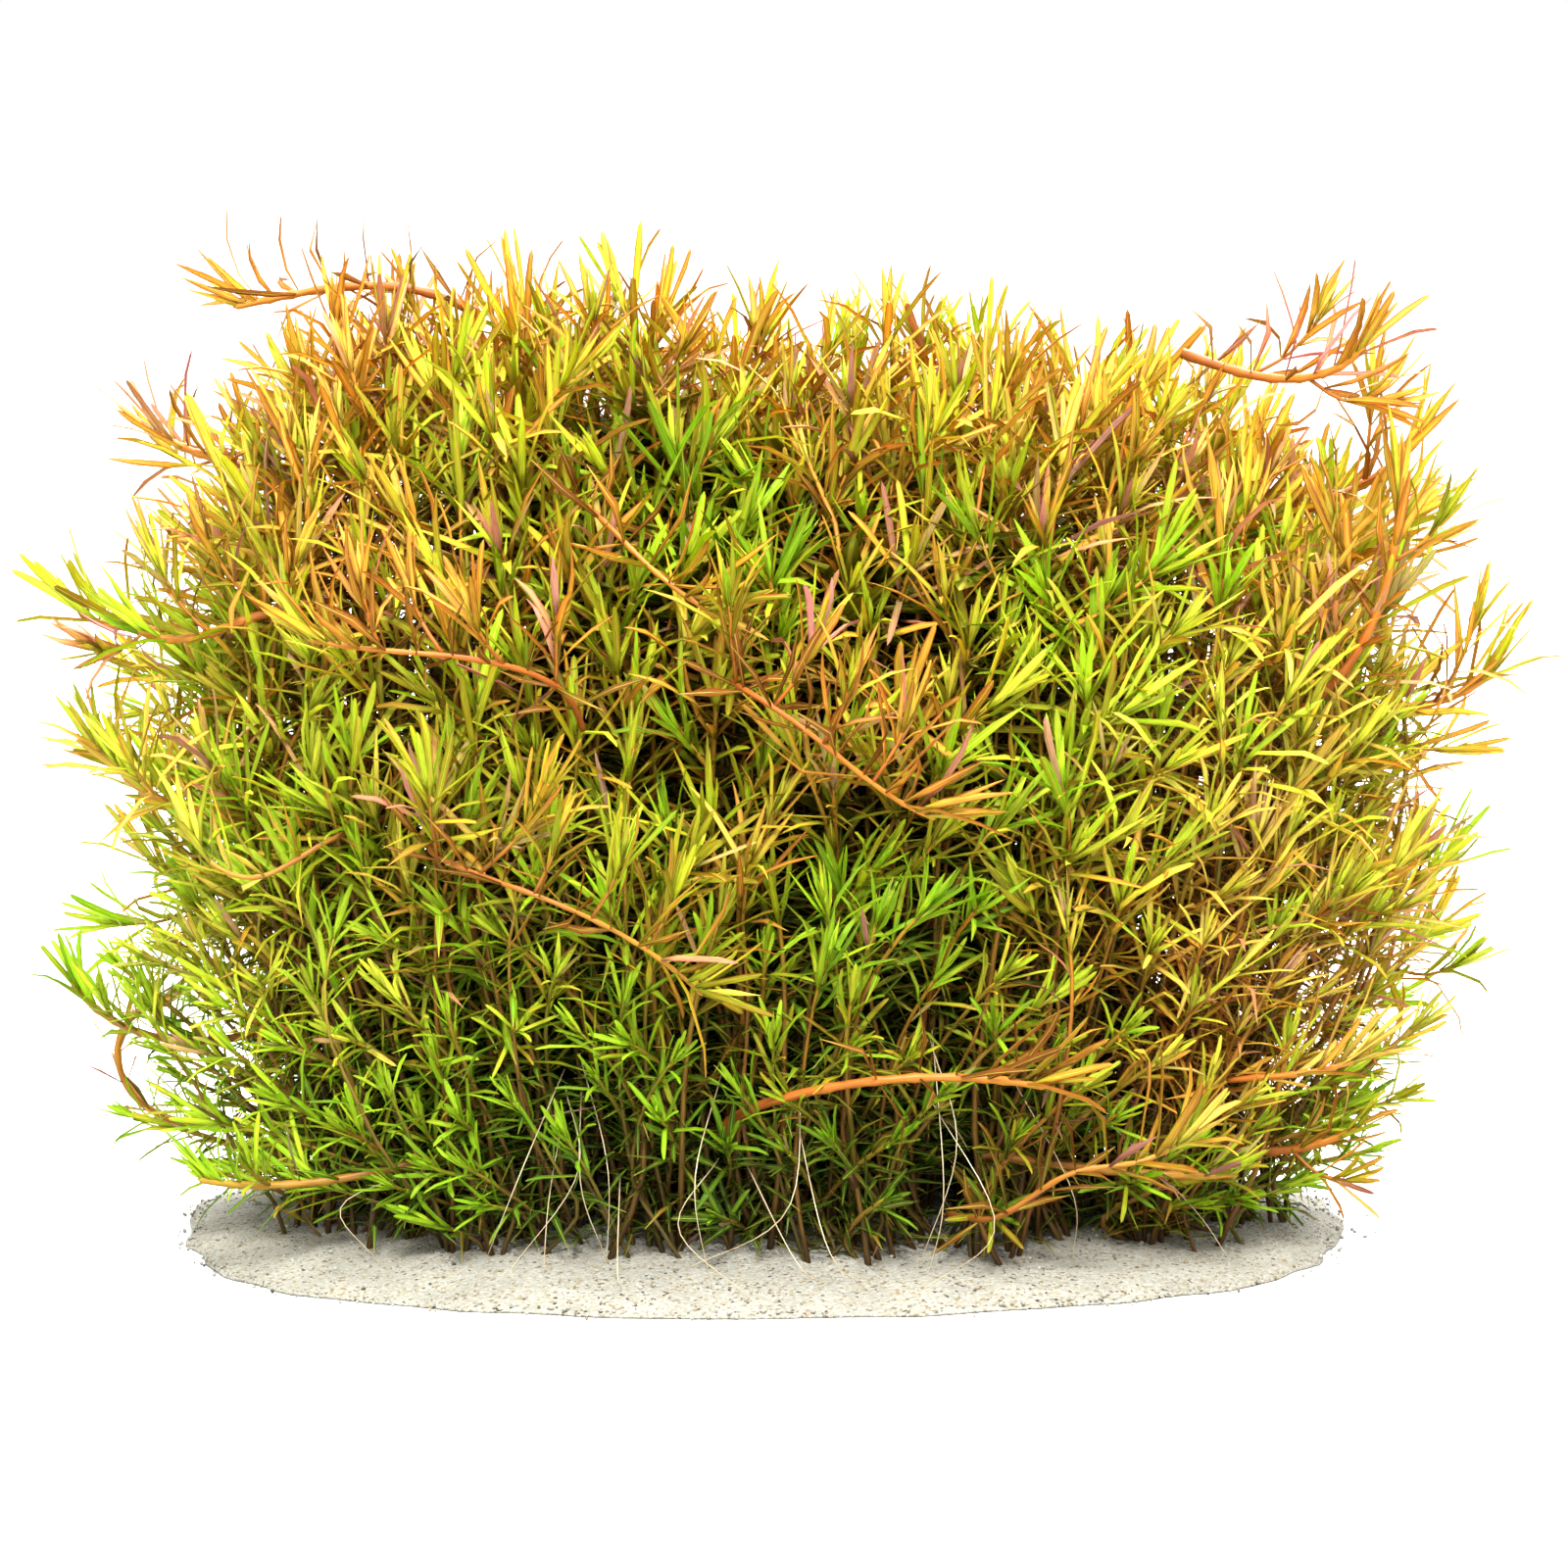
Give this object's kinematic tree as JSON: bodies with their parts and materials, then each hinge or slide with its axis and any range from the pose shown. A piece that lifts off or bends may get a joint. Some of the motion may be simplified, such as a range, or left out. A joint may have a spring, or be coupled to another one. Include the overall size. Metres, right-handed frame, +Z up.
{
  "type": "aquarium stem plant stand",
  "caption": "Dense stand of narrow-leaved rotala stems, lime and green below and bronze at the top, with side shoots arching out, rooted in a low patch of pale sand.",
  "frame": {"origin": "on the flat underside of the sand patch, under the middle of the stand", "axes": "+Z up; +X to the right as the picture is seen, along the stand's longest side; +Y away from the viewer"},
  "size_m": [0.2773, 0.1426, 0.1821],
  "materials": {
    "sand": "loose matte grains",
    "foliage": "soft waxy leaf"
  },
  "bodies": {
    "root": {"sand_bed": "sand", "plant_01": "foliage", "plant_02": "foliage", "plant_03": "foliage", "plant_04": "foliage", "plant_05": "foliage", "plant_06": "foliage", "plant_07": "foliage", "plant_08": "foliage", "plant_09": "foliage", "plant_10": "foliage", "plant_11": "foliage", "plant_12": "foliage", "plant_13": "foliage", "plant_14": "foliage", "plant_15": "foliage", "plant_16": "foliage", "plant_17": "foliage", "plant_18": "foliage", "plant_19": "foliage", "plant_20": "foliage", "plant_21": "foliage", "plant_22": "foliage", "plant_23": "foliage", "plant_24": "foliage", "plant_25": "foliage", "plant_26": "foliage", "plant_27": "foliage", "plant_28": "foliage", "plant_29": "foliage", "plant_30": "foliage", "plant_31": "foliage", "plant_32": "foliage", "plant_33": "foliage", "left_shoot_01": "foliage", "left_shoot_02": "foliage", "left_shoot_03": "foliage", "left_shoot_04": "foliage", "left_shoot_05": "foliage", "left_shoot_06": "foliage", "left_shoot_07": "foliage", "left_shoot_08": "foliage", "left_shoot_09": "foliage", "left_shoot_10": "foliage", "left_shoot_11": "foliage", "right_shoot_01": "foliage", "right_shoot_02": "foliage", "right_shoot_03": "foliage", "right_shoot_04": "foliage", "right_shoot_05": "foliage", "right_shoot_06": "foliage", "right_shoot_07": "foliage", "right_shoot_08": "foliage", "right_shoot_09": "foliage", "right_shoot_10": "foliage", "right_shoot_11": "foliage", "front_shoot_01": "foliage", "front_shoot_02": "foliage", "front_shoot_03": "foliage", "front_shoot_04": "foliage"}
  },
  "joints": []
}
